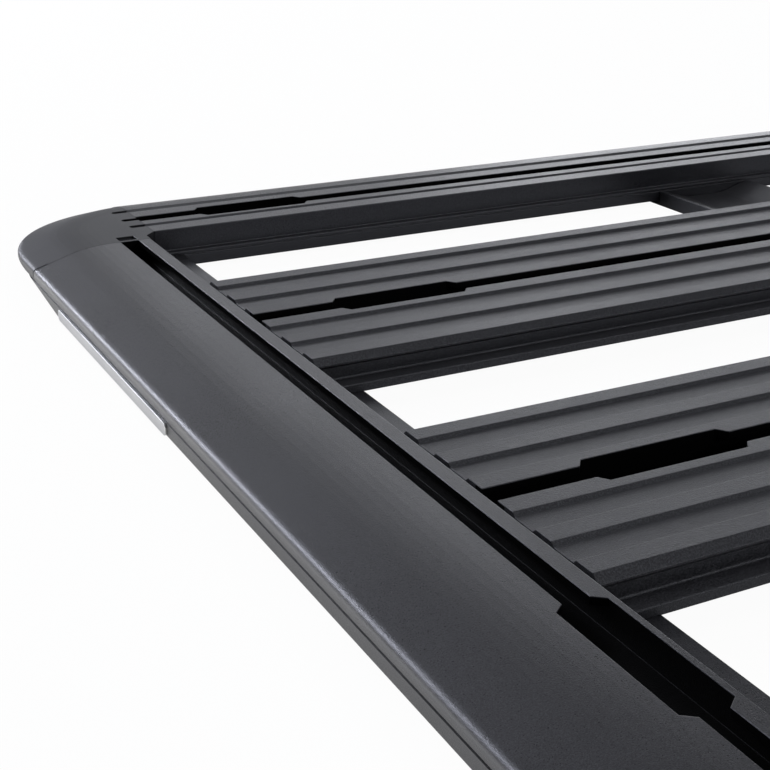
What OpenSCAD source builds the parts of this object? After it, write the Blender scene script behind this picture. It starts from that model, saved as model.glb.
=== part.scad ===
// Flat platform roof rack: a frame of four edge extrusions with moulded corners,
// four slotted planks that run front to rear, and two channel crossbars under them.
// X runs along the planks with the front at -X, Y runs across with the right side at +Y,
// and Z is up. The origin is on the resting plane, at the middle of the platform.

/* [Platform] */
// Overall length, front edge to rear edge
platform_l = 1528; // [1400:1:2200]
// Overall width, side edge to side edge
platform_w = 1236; // [1180:1:1400]
// Height of the edge extrusions
rail_h = 23; // [21:0.5:30]
// Clear gap between an outer plank and the foot of the side rail
edge_gap = 94.7; // [60:0.1:110]

/* [Edge slope] */
// Height of the top edge of the upright outer face, below the top face
edge_drop = 10.5; // [8:0.1:12]
// Width of the slope
slope_w = 33; // [26:0.5:38]
// Radius where the upright face turns into the slope
edge_r = 2.4; // [1:0.1:3]
// Height of the thin groove in the upright face, above the rail's bottom
groove_up = 6.8; // [4:0.1:9]
// Depth and half height of that groove
groove_d = 0.6; // [0.3:0.1:1]
// Distance along both edges, added, at which the bottom edge starts to rise to the corner
sweep_start = 167; // [140:1:180]
// Rise of the bottom edge for each millimetre nearer to the corner
sweep_rise = 0.105; // [0.06:0.005:0.11]

/* [Slots] */
// Width of every T-slot at the top face
slot_w = 11; // [9:0.1:13]
// Width of the slot's cavity and of the openings where a bolt head is let in
cavity_w = 20.5; // [17:0.1:22]
// Thickness of the lips over the cavity
lip_t = 3.2; // [2:0.1:4]
// Depth of the cavity's floor below the top face
cavity_d = 12.2; // [9:0.1:12.8]
// Thickness of the cavity's floor
floor_t = 2.4; // [1.5:0.1:3]
// Chamfer along the slot's top edges
slot_edge = 0.2; // [0.1:0.1:1]
// Length of the bolt openings in the planks and side rails
let_in_l = 75; // [50:1:100]
// Length of the bolt opening in the middle of the front and rear rails
end_let_in_l = 69; // [50:1:100]
// Length of the slanted corners of every bolt opening
let_in_cut = 3.6; // [2:0.1:6]
// Distance from the end rail's outer edge to the nearest bolt opening
let_in_inset = 118.8; // [100:0.1:160]

/* [Front and rear rails] */
// Distance from the outer edge to the middle of the slot
end_slot_in = 59; // [56:0.1:64]
// Thickness of the upright wall behind the slot, next to the planks
lip_wall = 2.85; // [2:0.05:4]
// Width of the ledge that carries the plank ends
ledge_w = 24; // [20:0.1:40]
// Thickness of the ledge
ledge_t = 3; // [2:0.1:4]
// Clearance between a plank's end and the rail
plank_gap = 2; // [0.5:0.1:4]

/* [Side rails] */
// Distance from the outer edge to the middle of the slot
side_slot_in = 70.6; // [68:0.1:76]
// Distance from the slot's middle to the inner upright face
side_inner = 31.7; // [24:0.1:34]
// How far the foot stands out from the inner face
side_foot_w = 4.7; // [3.6:0.1:12]
// Distance from the slot's middle to the outer shallow groove
outer_line = 20.6; // [18:0.1:26]
// Width of the outer shallow groove
outer_line_w = 8; // [5:0.1:9]
// Distance from the slot's middle to the inner shallow groove
inner_line = 16.3; // [14:0.1:20]
// Width of the inner shallow groove
inner_line_w = 5.6; // [4:0.1:7]
// Width of the level floor of the shallow grooves
line_floor_w = 2; // [1:0.1:3]
// Depth of the shallow grooves
line_d = 1; // [0.5:0.1:1.6]
// Height of the foot, from the rail's bottom
side_foot_h = 9.3; // [6:0.1:12]

/* [Planks] */
// Height of a plank, from its feet to its top face
plank_h = 16.1; // [15.6:0.1:18]
// Width of the high band beside the slot
lip_band = 10.5; // [9:0.1:13]
// Width of each low band
low_band = 12.05; // [8:0.05:14]
// Width of the high band between the low ones
high_band = 10.1; // [8:0.1:13]
// Width of the high band along a plank's edge
edge_band = 9.7; // [8:0.1:13]
// Width of a step between a high and a low band
step_w = 1.6; // [1:0.1:2.5]
// Depth of the low bands
tread_d = 1.55; // [1:0.05:2.2]
// Width of the chamfer along a plank's edge
chamfer_w = 3.5; // [2:0.1:5]
// Drop of that chamfer
chamfer_d = 3.1; // [1.5:0.1:4]
// Height of the small upright edge under the chamfer
chamfer_lip = 1; // [0.6:0.1:1.4]
// How far a foot stands out from the plank's top edge
plank_foot_w = 7.8; // [5:0.1:12]
// Thickness of a foot
plank_foot_t = 4.3; // [2.5:0.1:5]
// Thickness of the top skin under a low band
skin_t = 2.4; // [1.6:0.1:3]
// Thickness of the upright webs
web_t = 2.6; // [1.8:0.1:3]
// How far the outer web sits back under the chamfer
web_back = 1.2; // [0.4:0.1:2]

/* [Crossbars] */
// Distance from the platform's end to the middle of a crossbar
crossbar_inset = 505; // [420:1:600]
// Width of a crossbar
crossbar_w = 82.4; // [60:0.1:100]
// Thickness of a crossbar's floor
crossbar_floor = 3.3; // [2:0.1:5]
// Thickness of a crossbar's walls at their top edge
crossbar_wall = 2; // [1.5:0.1:4]
// Length over which a crossbar's level floor turns up into each inner side
crossbar_turn = 7; // [4:0.5:9]
// Distance from the platform's side to the end of a crossbar's tongue
tongue_inset = 14; // [8:1:40]
// Clearance between a crossbar's end and the foot of the side rail
crossbar_gap = 1; // [0.3:0.1:3]
// Spacing of the two leg bolt holes along X
leg_hole_space = 30; // [24:1:40]
// Diameter of the leg bolt holes
leg_hole_d = 8.5; // [6:0.5:10]
// Distance from the platform's side to the leg bolt holes
leg_hole_inset = 170; // [150:1:180]
// Diameter of the screw holes under the planks
screw_hole_d = 6.4; // [4:0.1:7]
// Diameter of their countersinks
screw_sink_d = 12; // [9:0.1:14]
// Diameter of the spacers between the crossbars and the planks' slots
spacer_d = 16; // [12:0.5:19]
// Clearance between a spacer and the rise of the crossbar's floor
spacer_gap = 0.5; // [0.3:0.1:2]

/* [Corners] */
// Radius of the rounded corner, seen from above
corner_r = 90; // [80:1:96]
// Length of a corner piece along the side rail
corner_l = 79; // [76:0.5:80]
// Width of a corner piece along the front or rear rail
corner_w = 117; // [112:0.5:130]
// Wall of a corner piece
corner_wall = 3.2; // [2:0.1:4]
// Length of the short grooves that lead into the side rail's grooves and slot
lead_l = 8; // [4:0.5:12]
// Width of the short grooves
lead_w = 5; // [2:0.1:6]
// Depth of the short grooves
lead_d = 1.5; // [0.8:0.1:2]
// Width of the rim between the end rail's slot and its short groove
lead_rim = 2.5; // [1.5:0.1:5]
// Thickness of the ribs inside a corner piece
rib_t = 2; // [1.2:0.1:3]
// Length of the spigots that enter the rails
spigot_l = 40; // [25:1:60]
// Clearance round a spigot
spigot_gap = 0.3; // [0.2:0.1:1]
// Thickness of the plate under a corner
plate_t = 3; // [2:0.1:3.2]
// Reach of that plate's legs past the corner piece
plate_reach = 64; // [40:1:100]
// Width of that plate's legs
plate_w = 30; // [22:1:32]
// How far the plate stays back from the rails' inner edges
plate_back = 10; // [6:1:14]

/* [Hidden] */

$fn = 64;
eps = 0.01;
cut = 1;
coat = "#2b2c30";
coat_dark = "#1d1e21";
moulding = "#323236";
steel = "#4a4b4e";

top_z = rail_h + crossbar_floor;
front = platform_l / 2;
side = platform_w / 2;
half_slot = slot_w / 2;
half_cavity = cavity_w / 2;

// Front and rear rail section, measured inward from the outer edge
lip_in = end_slot_in + half_cavity + lip_wall;
ledge_in = lip_in + ledge_w;
end_rail_l = platform_w - 2 * corner_w;

// Side rail section, measured inward from the outer edge
side_face_in = side_slot_in + side_inner;
side_w = side_face_in + side_foot_w;
side_rail_l = platform_l - 2 * corner_l;

plank_count = 4;
plank_l = platform_l - 2 * (lip_in + plank_gap);
plank_top = half_slot + lip_band + 4 * step_w + 2 * low_band + high_band + edge_band + chamfer_w;
plank_half = plank_top + plank_foot_w;
plank_pitch = (platform_w - 2 * (side_w + edge_gap + plank_half)) / (plank_count - 1);

// Middle of plank number i, counted from the left side
function plank_y(i) = (i - (plank_count + 1) / 2) * plank_pitch;

crossbar_h = rail_h - plank_h + crossbar_floor;
crossbar_l = platform_w - 2 * (side_w + crossbar_gap);
tongue_l = platform_w - 2 * tongue_inset;

// Slant across the outer corner of a corner plate
plate_slant = 5;

// Radii of the small rounded edges, and of the hollow at the foot of a step
edge_round = 0.6;
step_round = 1.8;

// The ribs reach from the corner's skin to this far from its centre, and hang this far down
rib_start = 20;
rib_drop = 18;

// Radius where the slope turns into the level top, and the length that it takes there
knee_r = 90;
knee_reach = 15;

// Points of the arc that rounds corner p, between points a and b, with radius r
function turn(a, p, b, r, steps) =
    let (u = (a - p) / norm(a - p), v = (b - p) / norm(b - p), half = acos(u * v) / 2)
    let (centre = p + (u + v) / norm(u + v) * r / sin(half))
    let (from = p + u * r / tan(half) - centre, to = p + v * r / tan(half) - centre)
    let (start = atan2(from.y, from.x), sweep = (atan2(to.y, to.x) - start + 540) % 360 - 180)
    [for (i = [0 : steps]) centre + r * [cos(start + sweep * i / steps), sin(start + sweep * i / steps)]];

// Open line through corners [x, y], each rounded where a radius follows it
function rounded(line, steps = 3) =
    let (flat = [for (p = line) [p.x, p.y]])
    [for (i = [0 : len(line) - 1])
        each len(line[i]) > 2 ? turn(flat[i - 1], flat[i], flat[i + 1], line[i][2], steps) : [flat[i]]];

// The outer edge from its bottom up over the slope to the level top
function edge_line() = concat(
    [[0, -rail_h],
     [0, -rail_h + groove_up - groove_d],
     [groove_d, -rail_h + groove_up],
     [0, -rail_h + groove_up + groove_d]],
    rounded([[0, -edge_drop - edge_r], [0, -edge_drop, edge_r], [slope_w / 2, -edge_drop / 2]], 6),
    rounded([[slope_w / 2, -edge_drop / 2], [slope_w, 0, knee_r], [slope_w + knee_reach, 0]], 6)
);

// Cavity of a T-slot about its middle, open at the top face
module slot_cut() {
    flare = slot_edge + cut;
    polygon([
        [-half_slot - flare, cut], [-half_slot, -slot_edge], [-half_slot, -lip_t],
        [-half_cavity, -lip_t], [-half_cavity, -cavity_d], [half_cavity, -cavity_d],
        [half_cavity, -lip_t], [half_slot, -lip_t], [half_slot, -slot_edge],
        [half_slot + flare, cut]
    ]);
}

// Outline of a bolt opening, with slanted corners, along X
module let_in_outline(length) {
    half = length / 2;
    inner = half - let_in_cut;
    polygon([
        [-half, -half_slot], [-inner, -half_cavity], [inner, -half_cavity], [half, -half_slot],
        [half, half_slot], [inner, half_cavity], [-inner, half_cavity], [-half, half_slot]
    ]);
}

// Tool that opens a slot's lips for the length of a bolt opening
module let_in(length) {
    translate([0, 0, -lip_t - eps]) linear_extrude(lip_t + cut) let_in_outline(length);
}

// Outline of the front and rear rails
module end_rail_outline() {
    polygon(concat(
        edge_line(),
        rounded([[lip_in - 2, 0], [lip_in, 0, edge_round], [lip_in, -plank_h, edge_round],
                 [ledge_in, -plank_h, edge_round], [ledge_in, -rail_h]])
    ));
}

// Hollow behind the outer edge, open at the bottom, up to the wall beside the slot
module edge_hollow(wall_in) {
    skin = skin_t + 0.4;
    polygon([
        [web_t, -rail_h - cut], [web_t, -edge_drop - skin_t - 0.8],
        [slope_w + 2, -skin], [wall_in, -skin], [wall_in, -rail_h - cut]
    ]);
}

// Hollows of the front and rear rails
module end_rail_hollows() {
    wall_in = end_slot_in - half_cavity - web_t;
    under = cavity_d + floor_t;
    edge_hollow(wall_in);
    translate([wall_in + web_t, -rail_h + web_t])
        square([lip_in - lip_wall - wall_in - web_t, rail_h - web_t - under]);
    translate([lip_in, -rail_h - cut])
        square([ledge_w - ledge_t, rail_h - plank_h - ledge_t + cut]);
}

module end_rail_section() {
    difference() {
        end_rail_outline();
        end_rail_hollows();
        translate([end_slot_in, 0]) slot_cut();
    }
}

// Shallow groove with sloped sides in the top face of a side rail
module line_groove(width) {
    half = width / 2;
    half_floor = line_floor_w / 2;
    polygon([
        [-half, cut], [-half, 0], [-half_floor, -line_d], [half_floor, -line_d], [half, 0], [half, cut]
    ]);
}

// Outline of the side rails
module side_rail_outline() {
    foot = -rail_h + side_foot_h;
    polygon(concat(
        edge_line(),
        rounded([[side_face_in - 2, 0], [side_face_in, 0, edge_round], [side_face_in, foot, edge_round],
                 [side_w, foot, edge_round], [side_w, foot - 1.8]]),
        [[side_w - 0.5, foot - 2.3], [side_w, foot - 2.8], [side_w, -rail_h]]
    ));
}

// Hollows of the side rails
module side_rail_hollows() {
    wall_in = side_slot_in - half_cavity - web_t;
    wall_out = side_slot_in + half_cavity;
    under = cavity_d + floor_t;
    skin = line_d + skin_t;
    inner_end = side_face_in - web_t;
    edge_hollow(wall_in);
    translate([wall_in + web_t, -rail_h + web_t]) square([cavity_w, rail_h - web_t - under]);
    translate([wall_out + web_t, -rail_h + web_t])
        square([inner_end - wall_out - web_t, rail_h - web_t - skin]);
    translate([side_face_in, -rail_h + web_t])
        square([side_foot_w - web_t, side_foot_h - 2 * web_t]);
}

module side_rail_section() {
    difference() {
        side_rail_outline();
        side_rail_hollows();
        translate([side_slot_in, 0]) slot_cut();
        translate([side_slot_in - outer_line, 0]) line_groove(outer_line_w);
        translate([side_slot_in + inner_line, 0]) line_groove(inner_line_w);
    }
}

// One low band of a plank, from the step down at x to the step up
function tread(x) = [
    [x, 0, edge_round], [x + step_w, -tread_d, step_round],
    [x + step_w + low_band, -tread_d], [x + 2 * step_w + low_band, 0, edge_round]
];

// Right half of a plank's outline, from the slot's lip round to the middle of the cavity floor
function plank_half_line() =
    let (web_out = plank_top - web_back, web_in = web_out - web_t)
    let (leg_out = half_cavity + web_t, under = tread_d + skin_t)
    let (tread_1 = half_slot + lip_band, tread_2 = tread_1 + 2 * step_w + low_band + high_band)
    let (lip_low = -chamfer_d - chamfer_lip, foot = -plank_h + plank_foot_t)
    rounded(concat(
        [[half_slot, 0]], tread(tread_1), tread(tread_2),
        [[plank_top - chamfer_w, 0, edge_round], [plank_top, -chamfer_d, edge_round],
         [plank_top, lip_low], [web_out, lip_low - web_back],
         [web_out, foot, 1], [plank_half, foot, edge_round],
         [plank_half, -plank_h], [web_in, -plank_h], [web_in, -under], [leg_out, -under],
         [leg_out, -plank_h], [half_cavity, -plank_h], [half_cavity, -cavity_d - floor_t],
         [0, -cavity_d - floor_t]]
    ));

// A plank's whole section: the half outline and its mirror image, less the slot
module plank_section() {
    right = plank_half_line();
    left = [for (i = [len(right) - 2 : -1 : 0]) [-right[i].x, right[i].y]];
    difference() {
        polygon(concat(right, left));
        slot_cut();
    }
}

// Stretches a section along X, with its first axis along Y
module along_x(length) {
    rotate([90, 0, 90]) linear_extrude(length, center = true) children();
}

// Stretches a section along Y, with its first axis along X
module along_y(length) {
    rotate([90, 0, 0]) linear_extrude(length, center = true) children();
}

// Everything below the edge that rises to a corner, in that corner's own frame
module corner_sweep() {
    reach = 2 * sweep_start;
    tilt = atan(sweep_rise * sqrt(2));
    translate([sweep_start / 2, sweep_start / 2, -rail_h]) rotate([0, 0, 45]) rotate([0, tilt, 0])
        translate([-reach, -reach / 2, -reach]) cube(reach);
}

// The same at both ends of a front or rear rail
module end_sweeps() {
    translate([0, -side, 0]) corner_sweep();
    mirror([0, 1, 0]) translate([0, -side, 0]) corner_sweep();
}

// The same at both ends of a side rail
module side_sweeps() {
    translate([-front, 0, 0]) corner_sweep();
    mirror([1, 0, 0]) translate([-front, 0, 0]) corner_sweep();
}

// Front rail; mirrored for the rear
module end_rail() {
    color(coat) translate([-front, 0, top_z]) difference() {
        along_y(end_rail_l) end_rail_section();
        translate([end_slot_in, 0, 0]) rotate([0, 0, 90]) let_in(end_let_in_l);
        end_sweeps();
    }
}

// Left rail; mirrored for the right
module side_rail() {
    let_in_x = front - let_in_inset - let_in_l / 2;
    color(coat) translate([0, -side, top_z]) difference() {
        along_x(side_rail_l) side_rail_section();
        for (x = [-let_in_x, let_in_x]) translate([x, side_slot_in, 0]) let_in(let_in_l);
        side_sweeps();
    }
}

// Plank number i, counted from the left side
module plank(i) {
    let_in_x = front - let_in_inset - let_in_l / 2;
    color(coat) translate([0, plank_y(i), top_z]) difference() {
        along_x(plank_l) plank_section();
        for (x = [-let_in_x, let_in_x]) translate([x, 0, 0]) let_in(let_in_l);
    }
}

// Section of the corner block, from its outer edge inward to the corner's centre.
// A set_in above zero gives the hollow under the wall, open at the bottom.
function block_line(set_in) =
    concat(
        [for (p = edge_line()) [p.x + set_in, p.y - set_in]],
        [[corner_r, -set_in], [corner_r, -rail_h - set_in]]
    );

// The corner piece seen from above, with its slanted inner corner
module corner_plan(set_in) {
    slant = corner_l - lip_in;
    polygon([
        [-cut, -cut], [corner_l - set_in, -cut], [corner_l - set_in, side_face_in - set_in / 2],
        [lip_in - set_in, side_face_in + slant - set_in / 2],
        [lip_in - set_in, corner_w - set_in], [-cut, corner_w - set_in]
    ]);
}

// Rounded block of a corner piece, whole or moved inward for its hollow
module corner_block(set_in) {
    straight_l = corner_w - corner_r + cut;
    intersection() {
        union() {
            translate([corner_r, corner_r, 0]) rotate([0, 0, 180]) rotate_extrude(angle = 90)
                polygon([for (p = block_line(set_in)) [corner_r - p.x, p.y]]);
            translate([0, corner_r + straight_l / 2, 0]) along_y(straight_l)
                polygon(block_line(set_in));
        }
        translate([0, 0, -2 * rail_h]) linear_extrude(3 * rail_h) corner_plan(set_in);
    }
}

// Low web of a corner piece that fills the corner between ledge and foot
module corner_web() {
    start = lip_in - corner_wall / 2;
    translate([0, 0, -rail_h]) linear_extrude(rail_h - plank_h) polygon([
        [start, side_face_in], [corner_l, side_face_in], [corner_l, side_w],
        [ledge_in, side_w], [ledge_in, corner_w], [start, corner_w]
    ]);
}

// Spigots of a corner piece that enter the outer hollows of both rails
module corner_spigots() {
    low = -rail_h + web_t + spigot_gap;
    spigot_h = rail_h - edge_drop / 2 - web_t - skin_t - 2 * spigot_gap - 1.5;
    start = slope_w / 2;
    end_w = end_slot_in - half_cavity - web_t - start - spigot_gap;
    side_spigot_w = side_slot_in - half_cavity - web_t - start - spigot_gap;
    root = corner_wall / 2;
    translate([start, corner_w - root, low]) cube([end_w, spigot_l + root, spigot_h]);
    translate([corner_l - root, start, low]) cube([spigot_l + root, side_spigot_w, spigot_h]);
}

// Thin ribs that fan out under the skin of a corner piece
module corner_ribs() {
    intersection() {
        corner_block(corner_wall / 2);
        translate([corner_r, corner_r, 0]) for (angle = [22.5, 45, 67.5])
            rotate([0, 0, 180 + angle]) translate([rib_start, -rib_t / 2, -rib_drop])
                cube([corner_r - rib_start, rib_t, rib_drop]);
    }
}

// Short grooves that carry the rails' grooves and slots into the corner piece
module corner_leads() {
    for (y = [side_slot_in - outer_line, side_slot_in, side_slot_in + inner_line]) {
        translate([corner_l - lead_l, y - lead_w / 2, -lead_d])
            cube([lead_l + cut, lead_w, lead_d + cut]);
        translate([corner_l - lead_l, y, -lead_d]) cylinder(h = lead_d + cut, d = lead_w);
    }
    translate([end_slot_in - half_slot, corner_w - lead_rim - lead_l, -lead_d])
        cube([slot_w, lead_l, lead_d + cut]);
}

// Front left corner piece; mirrored for the others
module corner() {
    color(moulding) translate([-front, -side, top_z]) difference() {
        union() {
            difference() {
                corner_block(0);
                corner_block(corner_wall);
            }
            corner_web();
            corner_spigots();
            corner_ribs();
        }
        corner_leads();
        corner_sweep();
    }
}

// Steel plate under the front left corner, one leg along each rail
module corner_plate() {
    end_in = ledge_in - plate_back;
    side_in = side_w - plate_back;
    end_out = end_in - plate_w;
    side_out = side_in - plate_w;
    reach = corner_w + plate_reach;
    color(steel) translate([-front, -side, top_z - rail_h - plate_t]) linear_extrude(plate_t) polygon([
        [end_out, side_in - plate_slant], [end_in - plate_slant, side_out],
        [reach, side_out], [reach, side_in], [end_in, side_in], [end_in, reach], [end_out, reach]
    ]);
}

// Right half of a crossbar's channel, open at the top, from the middle of its floor
function crossbar_half_line() =
    let (half = crossbar_w / 2, rise_from = spacer_d / 2 + spacer_gap + crossbar_turn)
    let (slope = atan((crossbar_h - crossbar_floor) / (half - crossbar_wall - rise_from)))
    rounded([
        [0, crossbar_floor], [rise_from, crossbar_floor, crossbar_turn / tan(slope / 2)],
        [half - crossbar_wall, crossbar_h], [half, crossbar_h], [half, 0]
    ]);

module crossbar_section() {
    right = crossbar_half_line();
    polygon(concat(right, [for (i = [len(right) - 1 : -1 : 1]) [-right[i].x, right[i].y]]));
}

// Crossbar with a tongue under each side rail, leg bolt holes and countersunk screw holes
module crossbar() {
    hole_y = side - leg_hole_inset;
    sink_h = (screw_sink_d - screw_hole_d) / 2;
    color(coat_dark) translate([-front + crossbar_inset, 0, 0]) difference() {
        union() {
            along_y(crossbar_l) crossbar_section();
            translate([0, 0, crossbar_floor / 2]) cube([crossbar_w, tongue_l, crossbar_floor], center = true);
        }
        for (dx = [-1, 1], dy = [-1, 1])
            translate([dx * leg_hole_space / 2, dy * hole_y, -cut])
                cylinder(h = crossbar_h + 2 * cut, d = leg_hole_d);
        for (i = [1 : plank_count]) translate([0, plank_y(i), 0]) {
            translate([0, 0, -cut]) cylinder(h = crossbar_floor + 2 * cut, d = screw_hole_d);
            translate([0, 0, -eps]) cylinder(h = sink_h, d1 = screw_sink_d, d2 = screw_hole_d);
        }
    }
}

// Round spacer on the front crossbar, under the slot of plank number i
module spacer(i) {
    height = top_z - cavity_d - floor_t - crossbar_floor;
    color(steel) translate([-front + crossbar_inset, plank_y(i), crossbar_floor]) difference() {
        cylinder(h = height, d = spacer_d);
        translate([0, 0, -cut]) cylinder(h = height + 2 * cut, d = screw_hole_d);
    }
}

end_rail();  // front_rail
mirror([1, 0, 0]) end_rail();  // rear_rail
side_rail();  // left_rail
mirror([0, 1, 0]) side_rail();  // right_rail
plank(1);  // plank_1
plank(2);  // plank_2
plank(3);  // plank_3
plank(4);  // plank_4
corner();  // corner_front_left
mirror([0, 1, 0]) corner();  // corner_front_right
mirror([1, 0, 0]) corner();  // corner_rear_left
mirror([1, 0, 0]) mirror([0, 1, 0]) corner();  // corner_rear_right
corner_plate();  // corner_plate_front_left
mirror([0, 1, 0]) corner_plate();  // corner_plate_front_right
mirror([1, 0, 0]) corner_plate();  // corner_plate_rear_left
mirror([1, 0, 0]) mirror([0, 1, 0]) corner_plate();  // corner_plate_rear_right
crossbar();  // crossbar_front
mirror([1, 0, 0]) crossbar();  // crossbar_rear
spacer(1);  // spacer_front_1
spacer(2);  // spacer_front_2
spacer(3);  // spacer_front_3
spacer(4);  // spacer_front_4
mirror([1, 0, 0]) spacer(1);  // spacer_rear_1
mirror([1, 0, 0]) spacer(2);  // spacer_rear_2
mirror([1, 0, 0]) spacer(3);  // spacer_rear_3
mirror([1, 0, 0]) spacer(4);  // spacer_rear_4
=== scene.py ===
from math import cos, pi, radians, sin

import bmesh
import bpy
from mathutils import Matrix, Vector


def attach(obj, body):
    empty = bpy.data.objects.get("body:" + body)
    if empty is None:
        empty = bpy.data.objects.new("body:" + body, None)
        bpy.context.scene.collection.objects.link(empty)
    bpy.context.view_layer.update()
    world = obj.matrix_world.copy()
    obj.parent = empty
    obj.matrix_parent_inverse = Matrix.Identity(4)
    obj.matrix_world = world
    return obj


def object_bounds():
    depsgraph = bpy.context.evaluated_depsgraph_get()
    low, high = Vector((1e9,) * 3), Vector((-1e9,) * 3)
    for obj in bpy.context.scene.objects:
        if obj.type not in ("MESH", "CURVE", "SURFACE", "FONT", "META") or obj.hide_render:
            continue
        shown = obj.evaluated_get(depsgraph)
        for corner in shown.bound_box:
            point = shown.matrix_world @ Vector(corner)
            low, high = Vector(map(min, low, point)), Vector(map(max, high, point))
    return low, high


# Flat platform roof rack on a plain pale floor. Lengths are in metres, X runs rearwards along the
# planks, Y towards the right side rail, and the platform rests on Z = 0.

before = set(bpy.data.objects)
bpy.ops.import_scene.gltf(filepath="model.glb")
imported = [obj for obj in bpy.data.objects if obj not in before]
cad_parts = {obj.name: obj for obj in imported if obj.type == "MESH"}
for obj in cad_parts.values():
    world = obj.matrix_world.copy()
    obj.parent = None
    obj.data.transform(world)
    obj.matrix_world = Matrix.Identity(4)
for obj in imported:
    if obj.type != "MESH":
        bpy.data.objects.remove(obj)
CAD_BOX = [list(corner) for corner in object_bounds()]
LOW, HIGH = (Vector(corner) for corner in CAD_BOX)
BODY = "root"
MM = 0.001

# Camera: height above the top face, place over the front rail, pitch down, heading and roll
TOP = HIGH.z
CAMERA_RISE = 0.2338
CAMERA_X = -0.9431
CAMERA_Y = -0.2861
CAMERA_PITCH = radians(21.95)
CAMERA_HEADING = radians(27.59)
CAMERA_ROLL = radians(0.39)
FOCAL_PIXELS = 1396.2
FRAME_PIXELS = 770
SENSOR_MM = 36


def add_camera():
    """The photograph's viewpoint, low over the front rail, looking to the far corner."""
    data = bpy.data.cameras.new("camera")
    data.sensor_width = SENSOR_MM
    data.lens = FOCAL_PIXELS / FRAME_PIXELS * SENSOR_MM
    data.clip_start = 0.01
    camera = bpy.data.objects.new("camera", data)
    bpy.context.scene.collection.objects.link(camera)
    turn = Matrix.Rotation(-CAMERA_HEADING, 4, "Z") @ Matrix.Rotation(pi / 2 - CAMERA_PITCH, 4, "X")
    turn = turn @ Matrix.Rotation(CAMERA_ROLL, 4, "Z")
    place = Matrix.Translation((CAMERA_X, CAMERA_Y, TOP + CAMERA_RISE))
    camera.matrix_world = place @ turn
    bpy.context.scene.camera = camera


# Node helpers for the materials

def new_material(name):
    material = bpy.data.materials.new(name)
    material.use_nodes = True
    material.node_tree.nodes.clear()
    return material, material.node_tree


def node(tree, kind, **settings):
    made = tree.nodes.new(kind)
    for key, value in settings.items():
        setattr(made, key, value)
    return made


def coordinates(tree, scale=(1, 1, 1)):
    """Object coordinates through a Mapping node."""
    texture = node(tree, "ShaderNodeTexCoord")
    mapping = node(tree, "ShaderNodeMapping")
    mapping.inputs["Scale"].default_value = scale
    tree.links.new(texture.outputs["Object"], mapping.inputs["Vector"])
    return mapping.outputs["Vector"]


def noise(tree, vector, scale, detail=2.0, roughness=0.5):
    made = node(tree, "ShaderNodeTexNoise")
    made.inputs["Scale"].default_value = scale
    made.inputs["Detail"].default_value = detail
    made.inputs["Roughness"].default_value = roughness
    tree.links.new(vector, made.inputs["Vector"])
    return made.outputs["Fac"]


def remap(tree, value, low, high, to_low, to_high):
    made = node(tree, "ShaderNodeMapRange")
    numbers = {"From Min": low, "From Max": high, "To Min": to_low, "To Max": to_high}
    for key, number in numbers.items():
        made.inputs[key].default_value = number
    tree.links.new(value, made.inputs["Value"])
    return made.outputs["Result"]


def feed(tree, socket, value):
    """Sets a socket to a number or a colour, or links another socket to it."""
    if isinstance(value, bpy.types.NodeSocket):
        tree.links.new(value, socket)
    elif isinstance(value, tuple):
        socket.default_value = (*value, 1)
    else:
        socket.default_value = value


def reckon(tree, operation, a, b=0.0):
    """A Math node on two inputs, each a socket or a number."""
    made = node(tree, "ShaderNodeMath", operation=operation)
    feed(tree, made.inputs[0], a)
    feed(tree, made.inputs[1], b)
    return made.outputs[0]


def place_axes(tree):
    """X, Y and Z of the Object coordinates."""
    apart = node(tree, "ShaderNodeSeparateXYZ")
    tree.links.new(coordinates(tree), apart.inputs[0])
    return apart.outputs


def shade(tree, factor, dark, light):
    """A colour between dark and light, each a colour or a socket."""
    made = node(tree, "ShaderNodeMix", data_type="RGBA")
    feed(tree, made.inputs["A"], dark)
    feed(tree, made.inputs["B"], light)
    tree.links.new(factor, made.inputs["Factor"])
    return made.outputs["Result"]


def bump(tree, height, distance, strength=1.0, below=None):
    made = node(tree, "ShaderNodeBump")
    made.inputs["Distance"].default_value = distance
    made.inputs["Strength"].default_value = strength
    tree.links.new(height, made.inputs["Height"])
    if below is not None:
        tree.links.new(below, made.inputs["Normal"])
    return made.outputs["Normal"]


EDGE_SAMPLES = 8


def rounded_edges(tree, radius):
    """Normal that is softened over the edges; radius is a number or a socket."""
    made = node(tree, "ShaderNodeBevel", samples=EDGE_SAMPLES)
    feed(tree, made.inputs["Radius"], radius)
    return made.outputs["Normal"]


def surface(tree, color, roughness, normal, level=None, **numbers):
    """Principled surface; level drives its specular level, numbers are set on its own sockets."""
    shader = node(tree, "ShaderNodeBsdfPrincipled")
    output = node(tree, "ShaderNodeOutputMaterial")
    tree.links.new(color, shader.inputs["Base Color"])
    tree.links.new(roughness, shader.inputs["Roughness"])
    tree.links.new(normal, shader.inputs["Normal"])
    shader.inputs["Specular Tint"].default_value = COOL_GLOSS
    if level is not None:
        tree.links.new(level, shader.inputs["Specular IOR Level"])
    for key, value in numbers.items():
        shader.inputs[key].default_value = value
    tree.links.new(shader.outputs["BSDF"], output.inputs["Surface"])


# Masks by place: one inside, none outside

def both(tree, *masks):
    """One where every mask is one."""
    result = masks[0]
    for mask in masks[1:]:
        result = reckon(tree, "MULTIPLY", result, mask)
    return result


def either(tree, *masks):
    """One where any mask is one."""
    result = masks[0]
    for mask in masks[1:]:
        result = reckon(tree, "MAXIMUM", result, mask)
    return result


def near_plane(tree, value, place, half):
    """One within half of the planes at plus and minus place."""
    off = reckon(tree, "ABSOLUTE", reckon(tree, "SUBTRACT", reckon(tree, "ABSOLUTE", value), place))
    return reckon(tree, "LESS_THAN", off, half)


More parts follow.
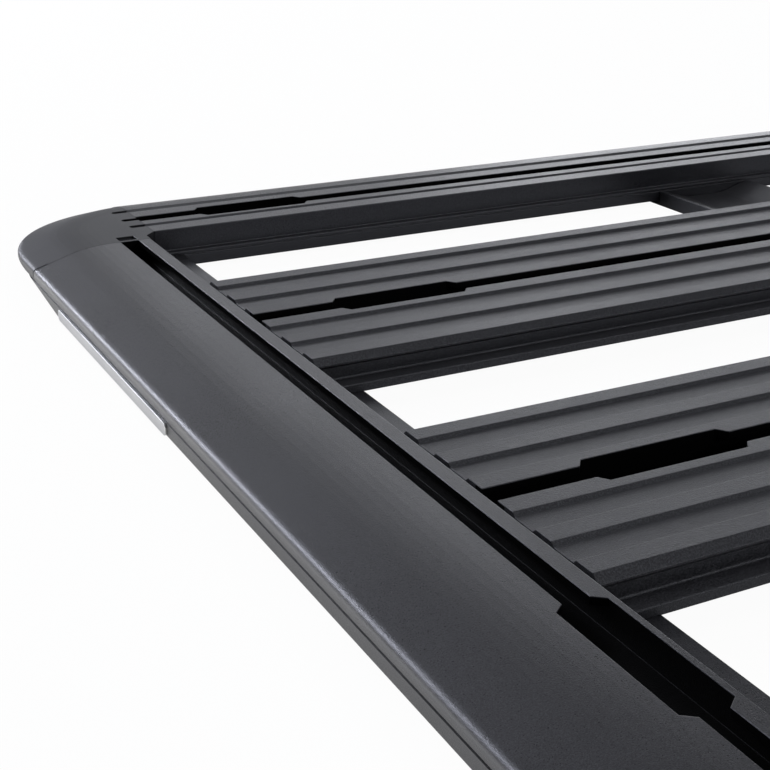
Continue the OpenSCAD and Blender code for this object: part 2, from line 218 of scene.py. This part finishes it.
def within(tree, value, reach):
    """One where the value lies between minus and plus reach."""
    return reckon(tree, "LESS_THAN", reckon(tree, "ABSOLUTE", value), reach)


def beyond(tree, value, reach):
    """One where the value lies outside of minus and plus reach."""
    return reckon(tree, "GREATER_THAN", reckon(tree, "ABSOLUTE", value), reach)


# Slightly cool gloss of the black coats
COOL_GLOSS = (0.93, 0.94, 1.0, 1)
# Edges of every coat are softened by this much, and the big outer edge of the rails by more
SMALL_EDGE = 0.45 * MM
OUTER_EDGE = 4.5 * MM
# The big outer edge: how near to the platform's outline, and from what height up
OUTER_EDGE_BAND = 9 * MM
OUTER_EDGE_LOW = 12 * MM


def outer_edge_radius(tree):
    """Softening radius that is larger along the upper outer edge of the rails."""
    x, y, z = place_axes(tree)
    outside = either(tree, beyond(tree, x, HIGH.x - OUTER_EDGE_BAND),
                     beyond(tree, y, HIGH.y - OUTER_EDGE_BAND))
    here = both(tree, outside, reckon(tree, "GREATER_THAN", z, OUTER_EDGE_LOW))
    return remap(tree, here, 0.0, 1.0, SMALL_EDGE, OUTER_EDGE)


# Middles of the T-slots, and the planes where the rails meet the corner pieces
END_SLOT_X = HIGH.x - 59 * MM
SIDE_SLOT_Y = 547.4 * MM
INNER_SLOT_Y = 112.9 * MM
OUTER_SLOT_Y = 338.7 * MM
SLOT_HALF = 10.4 * MM
SLOT_FLOOR = TOP - 12.4 * MM
END_JOINT_Y = HIGH.y - 117 * MM
SIDE_JOINT_X = HIGH.x - 79 * MM
# The slots run this far into the corner pieces
SLOT_LEAD = 8 * MM
# Width and strength of the painted shade along the seams
SEAM_HALF = 0.6 * MM
SEAM_SHARE = 0.5
# Specular level in the open, and the low level and near-black colour of painted shade where hardly
# any light gets in
FULL_GLOSS = 0.5
PAINTED_SHADE_GLOSS = 0.06
PAINTED_SHADE_COLOR = (0.0015, 0.0015, 0.0015)


def inside_slots(tree):
    """One inside the T-slots of the planks and rails, which no light reaches; the coats paint shade
    there.
    """
    x, y, z = place_axes(tree)
    sunk = both(tree, reckon(tree, "LESS_THAN", z, TOP - SMALL_EDGE),
                reckon(tree, "GREATER_THAN", z, SLOT_FLOOR))
    end_slot = both(tree, near_plane(tree, x, END_SLOT_X, SLOT_HALF),
                    within(tree, y, END_JOINT_Y + SLOT_LEAD))
    lengthwise = either(tree, *(near_plane(tree, y, middle, SLOT_HALF)
                                for middle in (INNER_SLOT_Y, OUTER_SLOT_Y, SIDE_SLOT_Y)))
    long_slot = both(tree, lengthwise, within(tree, x, SIDE_JOINT_X + SLOT_LEAD))
    return both(tree, sunk, either(tree, end_slot, long_slot))


# Thin groove round the upright outer face, painted dark and dull as shade
FACE_GROOVE_Z = 10.1 * MM
FACE_GROOVE_HALF = 0.6 * MM
FACE_GROOVE_DEPTH = 1.2 * MM


def face_groove(tree):
    """One inside the thin groove of the outer face, where shade is painted."""
    x, y, z = place_axes(tree)
    outside = either(tree, beyond(tree, x, HIGH.x - FACE_GROOVE_DEPTH),
                     beyond(tree, y, HIGH.y - FACE_GROOVE_DEPTH))
    level = within(tree, reckon(tree, "SUBTRACT", z, FACE_GROOVE_Z), FACE_GROOVE_HALF)
    return both(tree, level, outside)


def joint_seams(tree):
    """Half along the seams between the rails and the corner pieces, where a lower specular level
    paints the shade of a gap.
    """
    x, y, _ = place_axes(tree)
    end_seam = both(tree, near_plane(tree, y, END_JOINT_Y, SEAM_HALF),
                    beyond(tree, x, SIDE_JOINT_X))
    side_seam = both(tree, near_plane(tree, x, SIDE_JOINT_X, SEAM_HALF),
                     beyond(tree, y, END_JOINT_Y))
    return reckon(tree, "MULTIPLY", either(tree, end_seam, side_seam), SEAM_SHARE)


# Range of the noise that the remaps spread over their results
NOISE_LOW = 0.3
NOISE_HIGH = 0.7


def spread(tree, value, low, high):
    """Noise that is spread from low to high."""
    return remap(tree, value, NOISE_LOW, NOISE_HIGH, low, high)


def gloss_level(tree, gloss_shade_mask):
    """Specular level: full in the open, nearly none where shade is painted."""
    return remap(tree, gloss_shade_mask, 0.0, 1.0, FULL_GLOSS, PAINTED_SHADE_GLOSS)


# Powder coat: scales of its cloudiness and rises, share of the pebbles that show as light
# speckles, the spread of its roughness, and the heights of pebbles and rises
COAT_CLOUD = 9
COAT_PEEL = 330
SPECKLE_LOW = 0.42
SPECKLE_HIGH = 0.66
WEAR_SPREAD = 0.03
PEBBLE_SPREAD = 0.07
PEBBLE_HEIGHT = 0.2 * MM
PEEL_HEIGHT = 0.1 * MM


def powder_coat(name, dark, light, rough, grain=1.0, size=1500, on_rail=False):
    """Fine textured black powder coat: a speckled, pebbled skin, slightly cloudy."""
    material, tree = new_material(name)
    place = coordinates(tree)
    cloud = noise(tree, place, COAT_CLOUD, 3)
    pebble = noise(tree, place, size, 3, 0.65)
    peel = noise(tree, place, COAT_PEEL, 2)
    painted_shade = inside_slots(tree)
    if on_rail:
        painted_shade = either(tree, painted_shade, face_groove(tree))
    speckle = remap(tree, pebble, SPECKLE_LOW, SPECKLE_HIGH, 0.0, 1.0)
    # Painted shade: near-black colour inside the slots, and on the rails in the outer groove
    color = shade(tree, painted_shade, shade(tree, speckle, dark, light), PAINTED_SHADE_COLOR)
    worn = spread(tree, cloud, rough - WEAR_SPREAD, rough + WEAR_SPREAD)
    gloss = reckon(tree, "ADD", worn, spread(tree, pebble, -PEBBLE_SPREAD, PEBBLE_SPREAD))
    edges = rounded_edges(tree, outer_edge_radius(tree) if on_rail else SMALL_EDGE)
    fine = bump(tree, pebble, PEBBLE_HEIGHT, 0.7 * grain, edges)
    broad = bump(tree, peel, PEEL_HEIGHT, 0.35 * grain, fine)
    # Painted shade also lowers the gloss there, and on the rails along the seams
    gloss_shade_mask = either(tree, painted_shade, joint_seams(tree)) if on_rail else painted_shade
    surface(tree, color, gloss, broad, gloss_level(tree, gloss_shade_mask))
    return material


# Moulding: scales of its cloudiness and grain, and the height of the grain
MOULDING_CLOUD = 12
MOULDING_GRAIN = 2300
MOULDING_HEIGHT = 0.05 * MM
MOULDING_DARK = (0.006, 0.006, 0.007)
MOULDING_LIGHT = (0.009, 0.009, 0.01)


def moulded_plastic(name):
    """Satin black moulding with a very fine spark-eroded grain."""
    material, tree = new_material(name)
    place = coordinates(tree)
    cloud = noise(tree, place, MOULDING_CLOUD, 3)
    grain = noise(tree, place, MOULDING_GRAIN, 2, 0.6)
    painted_shade = either(tree, inside_slots(tree), face_groove(tree))
    # Painted shade: near-black colour and low gloss in the slot leads and the outer groove, low
    # gloss along the seams
    color = shade(tree, painted_shade, shade(tree, cloud, MOULDING_DARK, MOULDING_LIGHT), PAINTED_SHADE_COLOR)
    gloss = spread(tree, cloud, 0.42, 0.48)
    edges = rounded_edges(tree, outer_edge_radius(tree))
    normal = bump(tree, grain, MOULDING_HEIGHT, 0.4, edges)
    gloss_shade_mask = either(tree, painted_shade, joint_seams(tree))
    surface(tree, color, gloss, normal, gloss_level(tree, gloss_shade_mask), IOR=1.42)
    return material


# Drawn metal: scales of its grain and cloudiness, and its edges
DRAWN_GRAIN = 2600
DRAWN_CLOUD = 60
DRAWN_SPREAD = 0.06
DRAWN_HEIGHT = 0.02 * MM
DRAWN_EDGE = 0.2 * MM


def drawn_metal(name, dark, light, rough, stretch):
    """Plain metal; the stretch draws its grain out where it is under one."""
    material, tree = new_material(name)
    grain = noise(tree, coordinates(tree, stretch), DRAWN_GRAIN, 3, 0.6)
    cloud = noise(tree, coordinates(tree), DRAWN_CLOUD, 2)
    color = shade(tree, cloud, dark, light)
    gloss = spread(tree, grain, rough - DRAWN_SPREAD, rough + DRAWN_SPREAD)
    normal = bump(tree, grain, DRAWN_HEIGHT, 0.4, rounded_edges(tree, DRAWN_EDGE))
    surface(tree, color, gloss, normal, Metallic=1.0)
    return material


RAIL_COAT = powder_coat("rail_powder_coat", (0.002, 0.002, 0.003), (0.02, 0.02, 0.023),
                        rough=0.33, grain=0.8, size=2000, on_rail=True)
PLANK_COAT = powder_coat("plank_powder_coat", (0.002, 0.002, 0.003), (0.036, 0.036, 0.04),
                         rough=0.4, grain=1.5)
CROSSBAR_COAT = powder_coat("crossbar_powder_coat", (0.004, 0.004, 0.005), (0.02, 0.02, 0.022),
                            rough=0.42)
STEEL_COAT = powder_coat("plate_coat", (0.018, 0.018, 0.019), (0.028, 0.028, 0.029),
                         rough=0.42, grain=0.7)
MOULDING = moulded_plastic("corner_moulding")
SATIN_ALUMINIUM = drawn_metal("satin_aluminium", (0.40, 0.40, 0.40), (0.50, 0.50, 0.49),
                              rough=0.42, stretch=(1, 0.05, 1))
SCREW_STEEL = drawn_metal("black_zinc_steel", (0.10, 0.10, 0.105), (0.16, 0.16, 0.165),
                          rough=0.38, stretch=(1, 1, 1))


def coat_of(name):
    if name.startswith("plank"):
        return PLANK_COAT
    if name.startswith(("corner_plate", "spacer")):
        return STEEL_COAT
    if name.startswith("corner"):
        return MOULDING
    if name.startswith("crossbar"):
        return CROSSBAR_COAT
    return RAIL_COAT


def dress_nodes():
    for name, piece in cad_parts.items():
        if not piece.material_slots:
            piece.data.materials.append(None)
        for slot in piece.material_slots:
            slot.material = coat_of(name)


# Small pieces that the solids leave out

def finished(shape, name, material):
    """Turns a bmesh into a piece of the platform."""
    bmesh.ops.recalc_face_normals(shape, faces=shape.faces)
    mesh = bpy.data.meshes.new(name)
    shape.to_mesh(mesh)
    shape.free()
    mesh.materials.append(material)
    piece = bpy.data.objects.new(name, mesh)
    bpy.context.scene.collection.objects.link(piece)
    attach(piece, BODY)
    return piece


RING_POINTS = 36
HEX_SIDES = 6
MERGE_DISTANCE = 0.001 * MM


def points_of(geometry):
    return [item for item in geometry if isinstance(item, bmesh.types.BMVert)]


def model_screw(shape, profile, flats, depth):
    """Half section spun round, with a hexagon socket sunk up into the head.

    The profile holds radius and height in millimetres, from the tip on the axis to the rim of the
    head's face.
    """
    points = [shape.verts.new((radius * MM, 0, height * MM)) for radius, height in profile]
    edges = [shape.edges.new(pair) for pair in zip(points, points[1:])]
    bmesh.ops.spin(shape, geom=points + edges, cent=(0, 0, 0), axis=(0, 0, 1), angle=2 * pi,
                   steps=RING_POINTS, use_merge=True)
    bmesh.ops.remove_doubles(shape, verts=shape.verts, dist=MERGE_DISTANCE)
    rim = [edge for edge in shape.edges if edge.is_boundary]
    face_height = profile[-1][1] * MM
    over_corners = flats / 3 ** 0.5 * MM
    bmesh.ops.create_circle(shape, cap_ends=False, radius=over_corners, segments=HEX_SIDES,
                            matrix=Matrix.Translation((0, 0, face_height)))
    bmesh.ops.subdivide_edges(shape, edges=[edge for edge in shape.edges if edge.is_wire],
                              cuts=RING_POINTS // HEX_SIDES - 1)
    hexagon = [edge for edge in shape.edges if edge.is_wire]
    bmesh.ops.bridge_loops(shape, edges=rim + hexagon)
    raised = bmesh.ops.extrude_edge_only(shape, edges=hexagon)["geom"]
    bmesh.ops.translate(shape, verts=points_of(raised), vec=(0, 0, depth * MM))
    open_edges = [edge for edge in shape.edges if edge.is_boundary]
    bmesh.ops.holes_fill(shape, edges=open_edges, sides=0)


def place_copies(shape, places):
    """Puts a copy of what the bmesh holds at each place, and the model itself at the first."""
    model = shape.verts[:] + shape.edges[:] + shape.faces[:]
    for place in places[1:]:
        copy = bmesh.ops.duplicate(shape, geom=model)["geom"]
        bmesh.ops.translate(shape, verts=points_of(copy), vec=place)
    bmesh.ops.translate(shape, verts=points_of(model), vec=places[0])


# Half sections in millimetres, heights from the face that each screw goes up into; then the width
# over the flats of the socket, and its depth
# M6 countersunk screw, its head just inside the crossbar's underside
COUNTERSUNK = ((0, 9), (3, 9), (3, 2.7), (5.45, 0.4), (5.55, 0.15)), 4, 2.05
# M5 button head under the ledge, its shank up through ledge and plank foot
BUTTON_HEAD = ((0, 6.6), (2.4, 6.6), (2.4, -0.02), (4.75, -0.02), (4.6, -0.8), (3.9, -1.8),
               (2.9, -2.5), (2.2, -2.7)), 3, 1.5
# Visible face of a screw that ends flush with a corner plate's underside
FLUSH_FACE = ((0, -0.01), (5.5, -0.01), (5.4, -0.1)), 4, 0.07


# Places of the screws, each measured as in the part's source
PLANK_MIDDLES = [step * 0.1129 for step in (-3, -1, 1, 3)]
CROSSBAR_X = 0.259
PLANK_FOOT_OFF = 73.2 * MM
LEDGE_SCREW_IN = 84.5 * MM
LEDGE_UNDERSIDE = 7.2 * MM
PLATE_UNDERSIDE = 0.3 * MM
# Millimetres in from the end and from the side, for each corner plate
PLATE_SCREWS = ((62, 135), (62, 165), (102, 76), (150, 76))
CORNERS = (("front_left", -1, -1), ("front_right", -1, 1),
           ("rear_left", 1, -1), ("rear_right", 1, 1))


def add_screws(name, kind, places):
    shape = bmesh.new()
    model_screw(shape, *kind)
    place_copies(shape, places)
    finished(shape, name, SCREW_STEEL)


def add_crossbar_screws():
    for end, x in (("front", -CROSSBAR_X), ("rear", CROSSBAR_X)):
        add_screws(f"crossbar_screws_{end}", COUNTERSUNK, [(x, y, 0) for y in PLANK_MIDDLES])


def add_ledge_screws():
    for end, sign in (("front", -1), ("rear", 1)):
        add_screws(f"ledge_screws_{end}", BUTTON_HEAD,
                   [(sign * (HIGH.x - LEDGE_SCREW_IN), y + off, LEDGE_UNDERSIDE)
                    for y in PLANK_MIDDLES for off in (-PLANK_FOOT_OFF, PLANK_FOOT_OFF)])


def add_plate_screws():
    for name, sx, sy in CORNERS:
        add_screws(f"corner_plate_screws_{name}", FLUSH_FACE,
                   [(sx * (HIGH.x - x_in * MM), sy * (HIGH.y - y_in * MM), PLATE_UNDERSIDE)
                    for x_in, y_in in PLATE_SCREWS])


# Plain metal strip on the front rail's upright face, left blank
STRIP_FROM = 0.268
STRIP_TO = 0.447
STRIP_LOW = 2.8 * MM
STRIP_HIGH = 9.2 * MM
STRIP_OUT = 0.9 * MM
STRIP_CORNER = 2.6 * MM
STRIP_EDGE = 0.25 * MM


def add_blank_strip():
    """Thin strip with rounded ends, flat on the outer face, its front edges softened."""
    shape = bmesh.new()
    middle = Vector((LOW.x - STRIP_OUT / 2, (STRIP_FROM + STRIP_TO) / 2,
                     (STRIP_LOW + STRIP_HIGH) / 2))
    size = Vector((STRIP_OUT, STRIP_TO - STRIP_FROM, STRIP_HIGH - STRIP_LOW))
    bmesh.ops.create_cube(shape, size=1, matrix=Matrix.LocRotScale(middle, None, size))
    corners = [edge for edge in shape.edges
               if abs(edge.verts[0].co.x - edge.verts[1].co.x) > STRIP_OUT / 2]
    bmesh.ops.bevel(shape, geom=corners, offset=STRIP_CORNER, segments=6, profile=0.5,
                    affect="EDGES", material=-1)
    front = [edge for edge in shape.edges if all(point.co.x < middle.x for point in edge.verts)]
    bmesh.ops.bevel(shape, geom=front, offset=STRIP_EDGE, segments=2, profile=0.5,
                    affect="EDGES", material=-1)
    finished(shape, "blank_strip", SATIN_ALUMINIUM)


# Stage and light

FLOOR_RADIUS = 6.0
FLOOR_SIDES = 96
FLOOR_COLOR = (0.8, 0.8, 0.8, 1)
WHITE = (1, 1, 1, 1)
# Share of plain white in what the camera sees of the floor; the rest is lit and keeps the shadow
FLOOR_SEEN = 0.96
# The same share for mirrored rays, outside the platform's own footprint
FLOOR_MIRRORED = 0.9
FOOTPRINT_SOFT = 0.06


def outside_footprint(tree):
    """One outside the platform's outline, and none under it."""
    x, y, _ = place_axes(tree)
    over_end = reckon(tree, "SUBTRACT", reckon(tree, "ABSOLUTE", x), HIGH.x)
    over_side = reckon(tree, "SUBTRACT", reckon(tree, "ABSOLUTE", y), HIGH.y)
    return remap(tree, reckon(tree, "MAXIMUM", over_end, over_side), -FOOTPRINT_SOFT, 0.0, 0.0, 1.0)


def add_floor():
    """Pale floor that shows white and keeps a faint shadow of the platform."""
    material, tree = new_material("pale_floor")
    diffuse = node(tree, "ShaderNodeBsdfDiffuse")
    diffuse.inputs["Color"].default_value = FLOOR_COLOR
    white = node(tree, "ShaderNodeEmission")
    white.inputs["Color"].default_value = WHITE
    path = node(tree, "ShaderNodeLightPath")
    seen = reckon(tree, "MULTIPLY", path.outputs["Is Camera Ray"], FLOOR_SEEN)
    mirrored = either(tree, path.outputs["Is Glossy Ray"], path.outputs["Is Transmission Ray"])
    mirrored = reckon(tree, "MULTIPLY", mirrored, FLOOR_MIRRORED)
    mirrored = reckon(tree, "MULTIPLY", mirrored, outside_footprint(tree))
    mix = node(tree, "ShaderNodeMixShader")
    tree.links.new(reckon(tree, "MAXIMUM", seen, mirrored), mix.inputs["Fac"])
    tree.links.new(diffuse.outputs[0], mix.inputs[1])
    tree.links.new(white.outputs[0], mix.inputs[2])
    output = node(tree, "ShaderNodeOutputMaterial")
    tree.links.new(mix.outputs[0], output.inputs["Surface"])
    shape = bmesh.new()
    bmesh.ops.create_circle(shape, cap_ends=True, radius=FLOOR_RADIUS, segments=FLOOR_SIDES)
    mesh = bpy.data.meshes.new("floor")
    shape.to_mesh(mesh)
    shape.free()
    mesh.materials.append(material)
    floor = bpy.data.objects.new("floor", mesh)
    bpy.context.scene.collection.objects.link(floor)


WORLD_LEVEL = 0.27
# Softboxes: heading from +X towards +Y and elevation in degrees, width, height, brightness, colour
COOL = (0.94, 0.955, 1)
LAVENDER = (0.88, 0.9, 1)
LAMP_AIM = Vector((-0.6, 0.3, 0.0))
LAMP_REACH = 4.0
LAMPS = (
    ("right_low_softbox", 47, 9, 1.8, 0.9, 2.6, COOL),
    ("far_softbox", 68, 26, 1.8, 1.2, 1.7, COOL),
    ("far_left_softbox", 94, 26, 1.8, 1.2, 0.35, COOL),
    ("left_softbox_far", 108, 18, 0.7, 0.6, 28.0, LAVENDER),
    ("left_softbox_middle", 119, 27, 0.7, 0.7, 28.0, LAVENDER),
    ("left_softbox_near", 132, 36, 0.8, 0.8, 28.0, LAVENDER),
    ("behind_camera_softbox", 300, 25, 0.8, 0.5, 22.0, COOL),
    ("overhead_softbox", 62, 88, 3.0, 3.0, 1.15, COOL),
)
# Card on the floor before the front rail
CARD_SIZE = (0.16, 1.3)
CARD_LEVEL = 2.2
CARD_PLACE = (LOW.x - 0.1, 0.1, 0.0006)


def add_lamp(name, heading, elevation, width, height, brightness, color):
    """Area lamp; brightness is what a mirror would show of it, where white paper is 1."""
    data = bpy.data.lights.new(name, "AREA")
    data.shape = "RECTANGLE"
    data.size, data.size_y = width, height
    data.energy = brightness * pi * width * height
    data.color = color
    lamp = bpy.data.objects.new(name, data)
    bpy.context.scene.collection.objects.link(lamp)
    heading, elevation = radians(heading), radians(elevation)
    away = Vector((cos(elevation) * cos(heading), cos(elevation) * sin(heading), sin(elevation)))
    turn = (-away).to_track_quat("-Z", "Y").to_matrix().to_4x4()
    lamp.matrix_world = Matrix.Translation(LAMP_AIM + LAMP_REACH * away) @ turn


def add_floor_card():
    """Bright card on the floor before the front rail, seen only in the rail's upright face."""
    data = bpy.data.lights.new("floor_card", "AREA")
    data.shape = "RECTANGLE"
    data.size, data.size_y = CARD_SIZE
    data.energy = CARD_LEVEL * pi * data.size * data.size_y
    card = bpy.data.objects.new("floor_card", data)
    bpy.context.scene.collection.objects.link(card)
    card.visible_camera = False
    card.matrix_world = Matrix.Translation(CARD_PLACE) @ Matrix.Rotation(pi, 4, "X")


def add_world():
    world = bpy.data.worlds.new("studio")
    bpy.context.scene.world = world
    world.use_nodes = True
    tree = world.node_tree
    tree.nodes.clear()
    dim = node(tree, "ShaderNodeBackground")
    dim.inputs["Color"].default_value = (*COOL, 1)
    dim.inputs["Strength"].default_value = WORLD_LEVEL
    white = node(tree, "ShaderNodeBackground")
    white.inputs["Color"].default_value = WHITE
    path = node(tree, "ShaderNodeLightPath")
    mix = node(tree, "ShaderNodeMixShader")
    tree.links.new(path.outputs["Is Camera Ray"], mix.inputs["Fac"])
    tree.links.new(dim.outputs[0], mix.inputs[1])
    tree.links.new(white.outputs[0], mix.inputs[2])
    output = node(tree, "ShaderNodeOutputWorld")
    tree.links.new(mix.outputs[0], output.inputs["Surface"])


add_camera()
dress_nodes()
add_crossbar_screws()
add_ledge_screws()
add_plate_screws()
add_blank_strip()
add_floor()
add_world()
for lamp in LAMPS:
    add_lamp(*lamp)
add_floor_card()

scene = bpy.context.scene
scene.view_settings.view_transform = "Standard"
